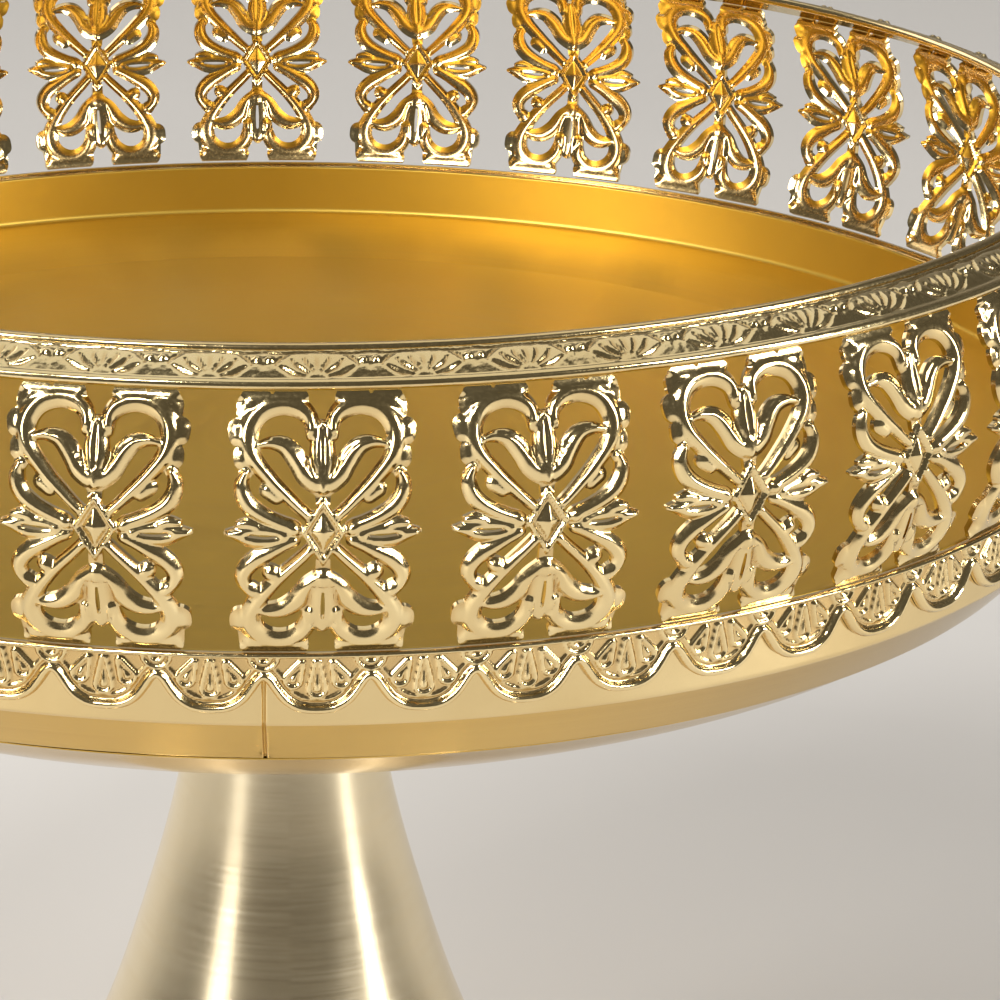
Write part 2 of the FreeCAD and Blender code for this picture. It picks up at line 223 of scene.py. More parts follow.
def cells_inside(across, up, edge, wrap):
    """The grid cells whose middle is in the metal, and the sides that only one of them has."""
    columns, rows = across.shape
    nexts = np.roll(edge, -1, axis=0) if wrap else edge[1:]
    first = edge if wrap else edge[:-1]
    middle = (first[:, :-1] + first[:, 1:] + nexts[:, :-1] + nexts[:, 1:]) / 4
    i, j = np.nonzero(middle < 0)
    ni = (i + 1) % columns
    quads = np.stack([i * rows + j, ni * rows + j, ni * rows + j + 1, i * rows + j + 1], -1)
    sides = np.concatenate([quads[:, [k, (k + 1) % 4]] for k in range(4)])
    ends = np.sort(sides, axis=1)
    code = ends[:, 0].astype(np.int64) * across.size + ends[:, 1]
    _, index, count = np.unique(code, return_index=True, return_counts=True)
    return quads, sides[index[count == 1]]


def relief_object(name, grid_across, grid_up, outline, relief, place, wrap=False, sheet=0.6,
                  pressed=0.0, back_from=-1e3):
    """A pierced plate: front from relief(), side walls along the outline, and a back where it can
    be seen, above back_from.  The back follows the front by the share pressed.  Corners on the
    outline are moved onto it."""
    across, up = np.meshgrid(grid_across, grid_up, indexing="ij")
    quads, rim = cells_inside(across, up, outline(across, up), wrap)
    used = np.unique(quads)
    fresh = np.full(across.size, -1)
    fresh[used] = np.arange(len(used))
    a, b = across.ravel()[used], up.ravel()[used]
    loose = np.unique(fresh[rim])
    la, lb = a[loose].copy(), b[loose].copy()
    reach = 0.05
    for _ in range(3):
        here = outline(la, lb)
        ga = (outline(la + reach, lb) - outline(la - reach, lb)) / (2 * reach)
        gb = (outline(la, lb + reach) - outline(la, lb - reach)) / (2 * reach)
        steep = np.maximum(ga * ga + gb * gb, 0.25)
        move = np.clip(here / steep, -0.12, 0.12)
        la -= move * ga
        lb -= move * gb
    a[loose], b[loose] = la, lb
    top = relief(a, b)
    half = len(used)
    front = place(a, b, top)
    behind = place(a, b, pressed * top - sheet)
    edge_front = place(la, lb, top[loose])
    edge_behind = place(la, lb, pressed * top[loose] - sheet)
    points = np.vstack([front, behind, edge_front, edge_behind]) * MM
    wall = np.full(half, -1)
    wall[loose] = np.arange(len(loose))
    quads = fresh[quads]
    rim = fresh[rim]
    wf = 2 * half + wall[rim]
    wb = 2 * half + len(loose) + wall[rim]
    walls = np.stack([wf[:, 1], wf[:, 0], wb[:, 0], wb[:, 1]], -1)
    seen = up.ravel()[used][quads].min(axis=1) >= back_from
    faces = np.vstack([quads, quads[seen][:, ::-1] + half, walls])
    piece = mesh_object(name, points, faces)
    # The relief height feeds the gilt's painted shade: low front relief is shaded, and the back takes
    # the inverse, so its hollows behind the ribs are shaded too.
    depth = np.concatenate([top, 1.0 - top, top[loose], 1.0 - top[loose]])
    carry(piece.data, "relief", depth)
    return piece


# ---------------------------------------------------------------- openwork panel

# Ribs of the panel's right half, as (across, up, half width) from its middle.  Its left half is
# the mirror image.  Each entry: points, height.
PANEL_RIBS = (
    # the upper lobe, which runs on as the bar to the diamond
    (((1.3, 12.0, 0.7), (1.4, 13.8, 1.0), (2.4, 15.0, 1.2), (4.1, 15.6, 1.25), (6.0, 15.5, 1.3),
      (7.7, 14.7, 1.35), (8.8, 13.2, 1.35), (9.1, 11.5, 1.3), (8.7, 9.9, 1.2), (8.0, 8.7, 1.1),
      (7.1, 7.6, 1.05), (5.9, 6.2, 1.0), (4.4, 4.7, 0.9), (2.9, 3.2, 0.8), (1.6, 2.0, 0.75)), 1.1),
    # the tulip's side petal, round to its cup
    (((7.8, 10.9, 0.45), (6.2, 11.2, 0.8), (4.7, 10.9, 1.1), (3.6, 9.9, 1.3), (2.8, 8.6, 1.3),
      (2.0, 7.3, 1.4), (0.8, 6.4, 1.45), (0.0, 6.2, 1.35)), 0.95),
    # the scroll beside the upper bar
    (((9.4, 7.6, 0.6), (9.9, 6.2, 0.95), (9.7, 4.7, 1.1), (8.8, 3.3, 1.15), (7.2, 2.2, 1.05),
      (5.3, 1.3, 1.0), (3.9, 0.75, 1.05)), 1.0),
    # the side leaf
    (((4.7, -0.3, 0.9), (6.4, -0.4, 1.55), (8.2, -0.4, 1.7), (9.9, -0.2, 1.15),
      (11.85, 0.0, 0.32)), 1.05),
    # the leaf's small upper lobe
    (((8.0, 0.9, 0.5), (9.2, 1.2, 0.75), (10.4, 1.15, 0.4)), 0.85),
    # the scroll beside the lower bar
    (((3.7, -1.0, 0.95), (5.2, -1.8, 0.95), (6.9, -2.8, 1.1), (8.2, -3.6, 1.2), (9.3, -4.7, 1.15),
      (9.8, -5.9, 1.05), (9.5, -7.1, 0.9), (8.9, -7.8, 0.8)), 1.0),
    # the lower bar, which runs on as the bottom lobe
    (((1.4, -2.0, 0.75), (2.5, -3.2, 0.8), (4.5, -5.2, 0.85), (5.9, -6.7, 0.95), (7.3, -8.5, 1.05),
      (8.4, -10.3, 1.2), (8.9, -11.9, 1.35), (8.7, -13.5, 1.4), (7.6, -14.9, 1.4),
      (5.9, -15.6, 1.35), (4.0, -15.4, 1.3), (2.4, -14.2, 1.2), (1.7, -12.6, 1.1),
      (1.6, -11.1, 0.9)), 1.05),
    # the lower flower's side petal
    (((0.3, -5.9, 0.9), (1.9, -7.4, 1.1), (3.1, -9.4, 1.3), (4.7, -10.7, 1.25),
      (6.3, -11.0, 1.0), (7.8, -10.7, 0.5)), 0.95),
    # the wavy edge outside the lobes, and knobs on the bars
    (((9.0, 15.3, 1.4), (9.0, 14.7, 1.4)), 0.6),
    (((10.1, 12.7, 1.4), (10.0, 12.0, 1.4)), 0.7),
    (((9.6, 9.8, 1.25), (9.6, 9.1, 1.25)), 0.6),
    (((10.0, -12.1, 1.4), (10.0, -12.8, 1.4)), 0.6),
    (((6.6, 5.5, 1.2), (5.7, 4.6, 0.95)), 0.85),
    (((6.4, -5.4, 1.1), (6.1, -5.6, 1.1)), 1.05),
    (((8.8, -7.8, 1.05), (8.5, -8.1, 1.05)), 1.05),
    (((3.7, 0.6, 1.05), (3.6, 0.5, 1.05)), 1.15),
    # broad shoulders against the rail and the border
    (((2.8, 16.2, 1.2), (5.4, 16.2, 1.35)), 1.0),
    (((6.6, 16.2, 1.35), (8.5, 15.9, 1.45)), 1.0),
    (((2.8, -16.1, 1.2), (5.6, -16.2, 1.35), (8.7, -15.9, 1.4)), 1.0),
    # the lower flower's bud
    (((0.0, -6.1, 1.35), (0.0, -6.5, 1.35)), 1.15),
)
PANEL_CENTRE_RIBS = (
    # the tulip's middle petal
    (((0, 13.6, 0.4), (0, 12.4, 1.1), (0, 10.6, 1.6), (0, 8.6, 1.6), (0, 6.8, 1.2),
      (0, 5.6, 0.8)), 1.15),
    # the lower flower's middle petal
    (((0, -7.2, 1.5), (0, -9.0, 1.75), (0, -11.0, 1.8), (0, -12.6, 1.45), (0, -13.6, 0.8)), 0.7),
)
# low sheet between the ribs, as (across, up, half width)
PANEL_WEBS = (
    ((9.2, 8.9, 0.9), (9.4, 7.6, 0.85)),
    ((0, 5.2, 1.0), (0, 4.0, 0.9)),
    ((0, -3.8, 0.9), (0, -6.3, 0.9)),
    ((2.2, 0.2, 0.55), (3.8, 0.2, 0.7)),
    ((2.9, 16.2, 0.95), (8.6, 15.9, 1.15)),
    ((2.8, -16.2, 0.95), (8.7, -16.1, 1.2)),
    ((9.2, -13.8, 1.2), (9.0, -15.9, 1.15)),
    ((0.7, 12.2, 0.7), (0, 11.5, 0.8)),
    ((0.5, -12.4, 0.9), (1.4, -12.0, 0.9)),
    ((7.6, 1.2, 0.35), (7.0, 0.7, 0.4)),
    ((7.6, -2.2, 0.35), (7.0, -1.7, 0.4)),
)
# slots through the sheet
PANEL_SLOTS = (
    ((5.5, -0.4, 0.14), (7.2, -0.42, 0.28), (9.2, -0.3, 0.14)),
    ((0, -7.9, 0.16), (0, -9.8, 0.27), (0, -11.8, 0.22)),
    ((6.0, 17.3, 0.45), (6.0, 16.55, 0.1)),
)


def diamond(across, up):
    return np.abs(across) / 2.75 + np.abs(up - 0.1) / 4.45


def panel_outline(across, up):
    """Distance outside the panel's metal; below 0 in it."""
    side = np.abs(across)
    edge = (diamond(across, up) - 1) * 2.3
    for points, _ in PANEL_RIBS + PANEL_CENTRE_RIBS:
        edge = np.minimum(edge, rib_edge(side, up, points, 5)[0])
    for points in PANEL_WEBS:
        edge = np.minimum(edge, rib_edge(side, up, points, 1)[0])
    for points in PANEL_SLOTS:
        edge = np.maximum(edge, -rib_edge(side, up, points, 3)[0])
    edge = np.maximum(edge, np.abs(up) - (PANEL_HIGH - PANEL_LOW) / 2)
    return edge


def groove(across, up, points, depth):
    share = rib_edge(across, up, points, 5)[1]
    return depth * np.clip(1 - (share + 1), 0, 1)


def soft_max(a, b, reach=0.22):
    """The higher of two surfaces, with a small fillet where they meet."""
    join = np.clip(1 - np.abs(a - b) / reach, 0, 1)
    return np.maximum(a, b) + join ** 2 * reach / 4


def panel_relief(across, up):
    """Height of the panel's front over its flat sheet."""
    side = np.abs(across)
    height = np.zeros_like(across)
    for points, rise in PANEL_RIBS + PANEL_CENTRE_RIBS:
        height = soft_max(height, dome(rib_edge(side, up, points, 5)[1], rise, 0.85))
    # grooves along the petals
    for points, depth in (
        (((6.2, 11.5, 0.25), (4.6, 11.3, 0.32), (3.1, 10.2, 0.35), (2.1, 8.7, 0.3)), 0.3),
        (((0, 12.8, 0.2), (0, 10.4, 0.38), (0, 7.6, 0.2)), 0.6),
        (((1.3, 12.2, 0.2), (1.75, 10.6, 0.3), (1.7, 8.8, 0.3), (1.1, 7.3, 0.2)), 0.6),
        (((1.3, -7.2, 0.25), (1.75, -9.0, 0.35), (1.8, -11.5, 0.35), (1.2, -13.0, 0.2)), 0.5),
        (((5.4, -0.4, 0.4), (7.2, -0.42, 0.95), (9.4, -0.25, 0.45)), 0.62),
    ):
        height -= groove(side, up, points, depth)
    # the faceted diamond and its border
    place = diamond(across, up)
    cushion = 0.12 + 1.0 * np.clip(1 - place / 0.66, 0, 1) ** 0.75
    border = 0.12 + 0.98 * np.clip(1 - np.abs(place - 0.87) / 0.17, 0, 1) ** 0.7
    height = np.where(place < 1.03, np.where(place < 0.68, cushion, border), height)
    # flat bars where the panel meets the rail and the border
    bar = np.clip((np.abs(up) - 15.9) / 0.45, 0, 1)
    height = height * (1 - bar) + 0.85 * bar
    return np.clip(height, 0, RIB_TOP)


WALL_ARC = ((PANEL_HIGH - PANEL_LOW) ** 2 / 4 + (PANEL_BULGE_RADIUS - PANEL_EDGE_RADIUS) ** 2) / (
    2 * (PANEL_BULGE_RADIUS - PANEL_EDGE_RADIUS))
RIB_TOP = 1.15
PANEL_CELL = 0.27
PANEL_GRID_ACROSS, PANEL_GRID_UP = 12.15, 16.92


def on_panel(across, up, depth):
    """A point on the bulged gallery wall; depth is measured out from the panel's flat sheet."""
    bulge = np.sqrt(WALL_ARC ** 2 - up ** 2)
    crown = PANEL_BULGE_RADIUS - WALL_ARC + bulge
    lean = bulge / WALL_ARC
    out = np.minimum(depth - RIB_TOP, 0)
    radius = crown + out * lean
    level = PANEL_MIDDLE + up + out * (up / WALL_ARC)
    level = np.clip(level, PANEL_LOW, PANEL_HIGH)
    turn = np.arcsin(across / crown)
    return np.stack([radius * np.sin(turn), -radius * np.cos(turn), level], -1)


def grid(start, end, cell):
    return np.linspace(start, end, int(round((end - start) / cell)) + 1)


panel = relief_object(
    "panel_relief_01",
    grid(-PANEL_GRID_ACROSS, PANEL_GRID_ACROSS, PANEL_CELL),
    grid(-PANEL_GRID_UP, PANEL_GRID_UP, PANEL_CELL),
    panel_outline,
    panel_relief,
    on_panel,
    sheet=0.7,
    pressed=0.8,
)
panels = [panel]
for number in range(1, PANELS):
    copy = bpy.data.objects.new(f"panel_relief_{number + 1:02d}", panel.data)
    copy.matrix_world = Matrix.Rotation(2 * math.pi * number / PANELS, 4, "Z")
    bpy.context.scene.collection.objects.link(copy)
    panels.append(copy)

# ---------------------------------------------------------------- scalloped border

PITCH = 2 * math.pi * BORDER_MIDDLE / SCALLOPS
HALF_PITCH = PITCH / 2
# the bead's middle line from the bottom of a scallop to the round crest beside it
BEAD_LINE = np.array((
    (0.0, 2.28), (1.5, 2.38), (2.7, 2.75), (4.0, 3.65), (5.0, 4.95), (5.75, 6.1), (6.3, 6.62),
    (HALF_PITCH, 6.72)))
BEAD_HALF = 0.68
BORDER_CELL = 0.24


def in_scallop(across):
    """Across from the middle of the scallop that a point belongs to."""
    return (across % PITCH) - HALF_PITCH


def from_bead(across, up):
    """Distance above the bead's middle line, below 0 under it."""
    aside = np.abs(in_scallop(across))
    turned_back = BEAD_LINE[-2::-1] * (-1, 1) + (2 * HALF_PITCH, 0)
    line = np.vstack([BEAD_LINE[1:3][::-1] * (-1, 1), BEAD_LINE, turned_back[:3]])
    path = [(x, y, 0.0) for x, y in line]
    gap = rib_edge(aside, up, path, 5)[0] + 0.05
    smooth = smooth_line(path, 5)
    level = np.interp(aside, smooth[:, 0], smooth[:, 1])
    return np.where(up >= level, gap, -gap)


def border_outline(across, up):
    return np.maximum(-from_bead(across, up) - BEAD_HALF, up - BORDER_TOP)


def border_relief(across, up):
    side = in_scallop(across)
    aside = np.abs(side)
    over = from_bead(across, up)
    height = np.full_like(across, 0.05)
    # three drops with raised rims, and a smaller drop standing in each
    for far, top, low, narrow, wide in (
        (side, (0, 8.4), (0, 5.0), 0.28, 1.1),
        (aside, (1.95, 8.3), (3.0, 6.15), 0.24, 1.0),
    ):
        out = rib_edge(far, up, ((*top, narrow), (*low, wide)), 1)[0]
        height = np.where(out < 0, 0.0, height)
        height = np.maximum(height, 0.05 + dome(np.abs(out) / 0.32 - 1, 0.55, 0.8))
        height = np.maximum(height, 0.6 * np.clip(-(out + 0.4) / 0.55, 0, 1) ** 0.7)
    # a fine line inside the bead
    height = np.maximum(height, 0.05 + dome(np.abs(over - 1.25) / 0.26 - 1, 0.35, 0.8) * (up < 8.3))
    # double hanging arcs over each crest
    hang = np.hypot(aside - HALF_PITCH, up - 9.3)
    for arc in (1.8, 0.95):
        rib = 0.05 + dome(np.abs(hang - arc) / 0.32 - 1, 0.6, 0.8)
        height = np.where((up < 9.3) & (hang < 2.1), np.maximum(rib, height * (hang > 1.5)), height)
    # rounded bead along the scallops, and the plain line under the top
    height = soft_max(height, dome(np.abs(over) / BEAD_HALF - 1, 1.0, 0.75))
    height = np.maximum(height, dome(np.abs(up - 9.35) / 0.36 - 1, 0.8, 0.8))
    return np.clip(height, 0, 1.0)


def on_border(across, up, depth):
    turn = across / BORDER_MIDDLE + SCALLOP_PHASE
    radius = BORDER_RADIUS + 0.4 + depth
    return np.stack([radius * np.sin(turn), -radius * np.cos(turn), BAND_LEVEL + up], -1)


border_columns = 56 * SCALLOPS
border = relief_object(
    "border_relief",
    np.arange(border_columns) * (PITCH * SCALLOPS / border_columns),
    grid(1.5, BORDER_TOP, BORDER_CELL),
    border_outline,
    border_relief,
    on_border,
    wrap=True,
    sheet=0.4,
    back_from=8.4,
)

# ---------------------------------------------------------------- rail

# From the lower bead up the leaning band to the lip, then back underneath.
RAIL_OUTSIDE = smooth_line(((120.35, 188.65), (120.7, 189.05), (120.55, 189.6), (120.05, 189.92)), 4)
RAIL_BAND = smooth_line(((119.75, 189.86), (118.1, 191.15), (116.6, 191.85), (115.35, 192.15)), 9)
RAIL_UNDER = ((114.95, 192.0), (114.6, 191.3), (117.6, 190.4), (119.1, 188.75))

# the cut lines of one repeat, as ((across, up, half width), ...) and depth
RAIL_CUTS = (
    (((0.0, 0.9, 0.16), (0.0, 2.0, 0.36), (0.0, 3.3, 0.16)), 0.4),
    (((0.5, 0.8, 0.14), (1.3, 1.9, 0.34), (1.7, 3.2, 0.16)), 0.4),
    (((1.1, 0.6, 0.14), (2.5, 1.4, 0.34), (3.3, 2.6, 0.16)), 0.4),
    (((1.5, 0.35, 0.14), (3.2, 0.6, 0.28), (4.7, 1.4, 0.14)), 0.34),
    (((3.7, 3.4, 0.14), (4.6, 2.6, 0.36), (5.3, 1.5, 0.16)), 0.42),
    (((0.0, 4.35, 0.3), (2.4, 4.1, 0.42), (4.4, 3.9, 0.5), (6.6, 4.3, 0.3)), 0.42),
    (((6.6, 1.6, 0.2), (6.6, 0.8, 0.1)), 0.25),
)
RAIL_BAND_WIDTH = 4.7
LIP_DEPTHS = (0.05, 0.09, 0.07)


def rail_pattern(across, along):
    """Leaf fans, scrolls and paired dots pressed in the rail's band; along runs 0 to 1 up it."""
    aside = np.abs(in_scallop(across))
    up = along * RAIL_BAND_WIDTH
    height = np.zeros_like(across)

    for points, depth in RAIL_CUTS:
        height -= groove(aside, up, points, depth)
    dots = np.hypot(aside - (HALF_PITCH - 0.72), up - 2.4) / 0.55
    height = np.where(dots < 1, dome(dots - 1, 0.45), height)
    # the pressing's grainy ground
    grain = np.sin(9 * across + 3 * np.sin(5 * up)) * np.sin(11 * up + 2 * np.sin(3 * across))
    height = height + 0.035 * grain
    fade = np.clip(along / 0.07, 0, 1) * np.clip((1 - along) / 0.07, 0, 1)
    return height * fade


def rail_push(section, angles):
    """How far the pressed pattern and the pebbled lip move each point of the rail."""
    start = len(RAIL_OUTSIDE)
    push = np.zeros((len(section), len(angles)))
    rows = np.arange(len(RAIL_BAND))
    across, along = np.meshgrid((angles - SCALLOP_PHASE) * BORDER_MIDDLE, rows / rows[-1])
    push[start:start + len(rows)] = rail_pattern(across, along)
    end = start + len(rows)
    run = angles * BORDER_RADIUS
    pebbles = np.sin(4.4 * run + 2.2 * np.sin(1.3 * run))
    pebbles *= np.sin(2.9 * run + 1.7 * np.sin(2.1 * run))
    for row, depth in zip(range(end - len(LIP_DEPTHS), end), LIP_DEPTHS):
        push[row] += depth * np.roll(pebbles, 3 * row) - 0.03
    return push


rail_section = np.vstack([RAIL_OUTSIDE, RAIL_BAND, RAIL_UNDER])
rail_angles = even_angles(40 * SCALLOPS)
rail = lathe("rail_relief", rail_section, rail_angles, rail_push)
rail_depth = rail_push(rail_section, rail_angles)
# The pressed grooves carry low relief values, which the gilt paints with shade.
carry(rail.data, "relief", (rail_depth * 1.6 + 0.6).ravel())

wire_turns = even_angles(16)
wire_section = np.stack([
    RIM_RADIUS + RIM_WIRE * np.cos(wire_turns), RIM_LEVEL + RIM_WIRE * np.sin(wire_turns)], -1)


def wire_push(section, angles):
    """A hand-finished wire isn't quite even."""
    return 0.03 * np.sin(23 * angles + 0.7) * np.sin(9 * angles) * np.ones((len(section), 1))


rim = lathe("rim_wire_turned", wire_section, even_angles(540), wire_push)

# ---------------------------------------------------------------- hoop, pan and underside

HOOP_SECTION = rounded_section((
    (BAND_RADIUS, BAND_TOP, 0.25),
    (BAND_RADIUS, BAND_LEVEL, 1.1),
    (FLANGE_END[0], FLANGE_END[1], 0.3),
    (FLANGE_END[0] - 0.35, FLANGE_END[1] + 0.75, 0.3),
    (BAND_RADIUS - GAUGE, BAND_LEVEL + 0.35, 0.5),
    (BAND_RADIUS - GAUGE, BAND_TOP, 0.25),
))
SEAM = SCALLOP_PHASE
SEAM_WIDTH = 0.3


def hoop_push(section, angles):
    """The butt seam, with weld spots beside it on the flange."""
    away = (angles - SEAM) * BAND_RADIUS
    outside = section[:, 0] > BAND_RADIUS - GAUGE / 2
    lean = (section[:, 1] < BAND_LEVEL - 0.2)
    seam = -0.5 * np.clip(1 - np.abs(away) / SEAM_WIDTH, 0, 1)
    push = np.where((outside | lean)[:, None], seam[None, :], 0)
    for level, shift in ((143.6, 0.5), (142.5, -0.35), (141.2, 0.55), (140.0, -0.5), (138.9, 0.4)):
        spot = np.hypot(away[None, :] - shift, (section[:, 1] - level)[:, None]) / 0.45
        push = push + np.where(lean[:, None], 0.14 * np.clip(1 - spot ** 2, 0, 1), 0)
    ripple = 0.05 * np.sin(5 * angles) + 0.03 * np.sin(11 * angles + 1)
    below = (section[:, 1] < BAND_LEVEL)[:, None]
    return np.minimum(push, 0.2) + np.where(below, ripple[None, :], 0)


# evenly spaced angles, except beside the seam, where they are close together
beside = np.array((0.08, 0.16, 0.25, 0.4, 0.6, 0.9, 1.2))
fine = SEAM + np.concatenate([-beside[::-1], [0], beside]) / BAND_RADIUS
coarse = even_angles(480)
wrapped = np.abs((coarse - SEAM + math.pi) % (2 * math.pi) - math.pi)
hoop_angles = np.sort(np.concatenate([(coarse[wrapped > 0.013] + 1e-4) % (2 * math.pi),
                                      fine % (2 * math.pi)]))
hoop_angles = np.where(hoop_angles > math.pi, hoop_angles - 2 * math.pi, hoop_angles)
hoop_angles = np.sort(hoop_angles)
hoop = lathe("hoop_turned", HOOP_SECTION, hoop_angles, hoop_push)

FLOOR_TOP = BAND_LEVEL - 1.2
FLOOR_RADIUS = 98.5
LEDGE_TOP = BAND_LEVEL + 1.4
PAN_RADIUS = BAND_RADIUS - GAUGE - 0.1
PAN_SECTION = rounded_section((
    (PAN_RADIUS, BAND_TOP, 0.2),
    (PAN_RADIUS, LEDGE_TOP - GAUGE, 0.9),
    (FLOOR_RADIUS, FLOOR_TOP - GAUGE, 2.0),
    (0.02, FLOOR_TOP - GAUGE, 0),
    (0.02, FLOOR_TOP, 0),
    (FLOOR_RADIUS, FLOOR_TOP, 2.6),
    (PAN_RADIUS - GAUGE, LEDGE_TOP, 0.8),
    (PAN_RADIUS - GAUGE, BAND_TOP, 0.2),
), step=4)
pan = lathe("pan_turned", PAN_SECTION, even_angles(420))

UNDERSIDE = smooth_line((
    (112.0, 137.4), (100.0, 130.6), (84.0, 124.6), (60.0, 121.0), (30.0, 120.1), (4.5, 120.0)), 12)
underside = lathe("underside_turned", shell_section(UNDERSIDE[::-1], -GAUGE), even_angles(420))

# ---------------------------------------------------------------- pedestal

NECK_TOP = 118.8
PEDESTAL_GAUGE = 1.0
FLARE = smooth_line((
    (13.0, NECK_TOP), (13.3, 106.0), (16.2, 89.7), (20.2, 74.0), (27.4, 52.0), (38.0, 29.0),
    (50.0, 11.0), (57.3, 3.3)), 9)
foot_edge = [(57.75, 2.75), (57.85, 2.2), (57.5, 1.75), (57.0, 1.85), (56.6, 2.5)]
flare_run = np.gradient(FLARE, axis=0)
flare_run /= np.linalg.norm(flare_run, axis=1)[:, None]
flare_inside = FLARE + np.stack([flare_run[:, 1], -flare_run[:, 0]], -1) * PEDESTAL_GAUGE
pedestal_section = np.vstack([FLARE, foot_edge, flare_inside[:-1][::-1]])
pedestal_section[-1, 1] = NECK_TOP
pedestal = lathe("pedestal_turned", pedestal_section, even_angles(300))

foot_ring = lathe("foot_ring_turned", rounded_section((
    (44.0, 1.5, 0.5), (55.4, 1.5, 0.6), (51.9, 5.4, 0.5), (44.0, 5.4, 0.5))), even_angles(240))
gasket = lathe("gasket_turned", rounded_section((
    (4.4, NECK_TOP, 0.3), (13.0, NECK_TOP, 0.45), (13.0, 120.0, 0.45), (4.4, 120.0, 0.3)), 0.8),
    even_angles(120))

PAD_RING = 49.0     # radius of the circle that the pads stand on


def pad_object():
    """Four soft discs, dished a little where they bear on the table."""
    section = np.array((
        (0.02, 0.18), (1.2, 0.16), (2.4, 0.06), (3.0, 0.0), (3.6, 0.02), (3.88, 0.14), (4.0, 0.4),
        (4.0, 1.1), (3.9, 1.35), (3.6, 1.5), (0.02, 1.5)))
    turns = even_angles(48)
    rows, columns = len(section), len(turns)
    i, j = np.meshgrid(np.arange(rows - 1), np.arange(columns), indexing="ij")
    nj = (j + 1) % columns
    ring = np.stack([i * columns + j, (i + 1) * columns + j, (i + 1) * columns + nj, i * columns + nj],
                    -1).reshape(-1, 4)
    points, faces = [], []
    for quarter in range(4):
        turn = math.radians(45 + 90 * quarter)
        disc = np.stack([
            section[:, :1] * np.cos(turns)[None, :] + PAD_RING * math.cos(turn),
            section[:, :1] * np.sin(turns)[None, :] + PAD_RING * math.sin(turn),
            section[:, 1:] * np.ones(columns)[None, :]], -1).reshape(-1, 3)
        faces.append(ring[:, ::-1] + quarter * rows * columns)
        points.append(disc)
    return mesh_object("pads_moulded", np.vstack(points) * MM, np.vstack(faces)[:, ::-1])


pads = pad_object()

# ---------------------------------------------------------------- materials


class Recipe:
    """Short names for building a node material."""

    def __init__(self, name):
        self.material = bpy.data.materials.new(name)
        self.material.use_nodes = True
        self.tree = self.material.node_tree
        self.tree.nodes.clear()
        self.shader = self.add("ShaderNodeBsdfPrincipled")
        output = self.add("ShaderNodeOutputMaterial")
        self.tree.links.new(self.shader.outputs["BSDF"], output.inputs["Surface"])
        self.place = self.add("ShaderNodeTexCoord").outputs["Object"]

    def add(self, kind, **settings):
        node = self.tree.nodes.new(kind)
        for key, value in settings.items():
            setattr(node, key, value)
        return node

    def feed(self, node, **inputs):
        for key, value in inputs.items():
            by_number = key.startswith("i")
            socket = node.inputs[int(key[1:]) if by_number else key.replace("_", " ")]
            if isinstance(value, bpy.types.NodeSocket):
                self.tree.links.new(value, socket)
            else:
                socket.default_value = value
        return node

    def noise(self, scale, detail=3.0, stretch=None, rough=0.55):
        where = self.place
        if stretch is not None:
            where = self.feed(self.add("ShaderNodeMapping"), Vector=where, Scale=stretch).outputs[0]
        node = self.add("ShaderNodeTexNoise")
        self.feed(node, Vector=where, Scale=scale, Detail=detail, Roughness=rough)
        return node.outputs["Fac"]

    def spread(self, value, low, high, start=0.0, end=1.0):
        node = self.add("ShaderNodeMapRange", clamp=True)
        self.feed(node, i0=value, i1=start, i2=end, i3=low, i4=high)
        return node.outputs[0]

    def sum(self, a, b, operation="ADD"):
        return self.feed(self.add("ShaderNodeMath", operation=operation), i0=a, i1=b).outputs[0]

    def ramp(self, value, *stops):
        node = self.add("ShaderNodeValToRGB")
        while len(node.color_ramp.elements) < len(stops):
            node.color_ramp.elements.new(0.5)
        for element, (position, colour) in zip(node.color_ramp.elements, stops):
            element.position = position
            element.color = (*colour, 1)
        self.feed(node, Fac=value)
        return node.outputs["Color"]

    def blend(self, share, first, second, how="MIX"):
        node = self.add("ShaderNodeMix", data_type="RGBA", blend_type=how)
        self.feed(node, i0=share, i6=first, i7=second)
        return node.outputs[2]

    def bump(self, height, distance, strength=0.5, under=None):
        node = self.add("ShaderNodeBump")
        self.feed(node, Height=height, Distance=distance, Strength=strength)
        if under is not None:
            self.feed(node, Normal=under)
        return node.outputs["Normal"]

    def attribute(self, name):
        return self.add("ShaderNodeAttribute", attribute_name=name).outputs["Fac"]

    def polar(self):
        """Radius from the stand's axis, height, and angle, as separate values."""
        parts = self.feed(self.add("ShaderNodeSeparateXYZ"), Vector=self.place)
        x, y, z = parts.outputs
        squares = self.sum(self.sum(x, x, "MULTIPLY"), self.sum(y, y, "MULTIPLY"))
        radius = self.sum(squares, 0.5, "POWER")
        angle = self.feed(self.add("ShaderNodeMath", operation="ARCTAN2"), i0=x, i1=y).outputs[0]
        return radius, z, angle


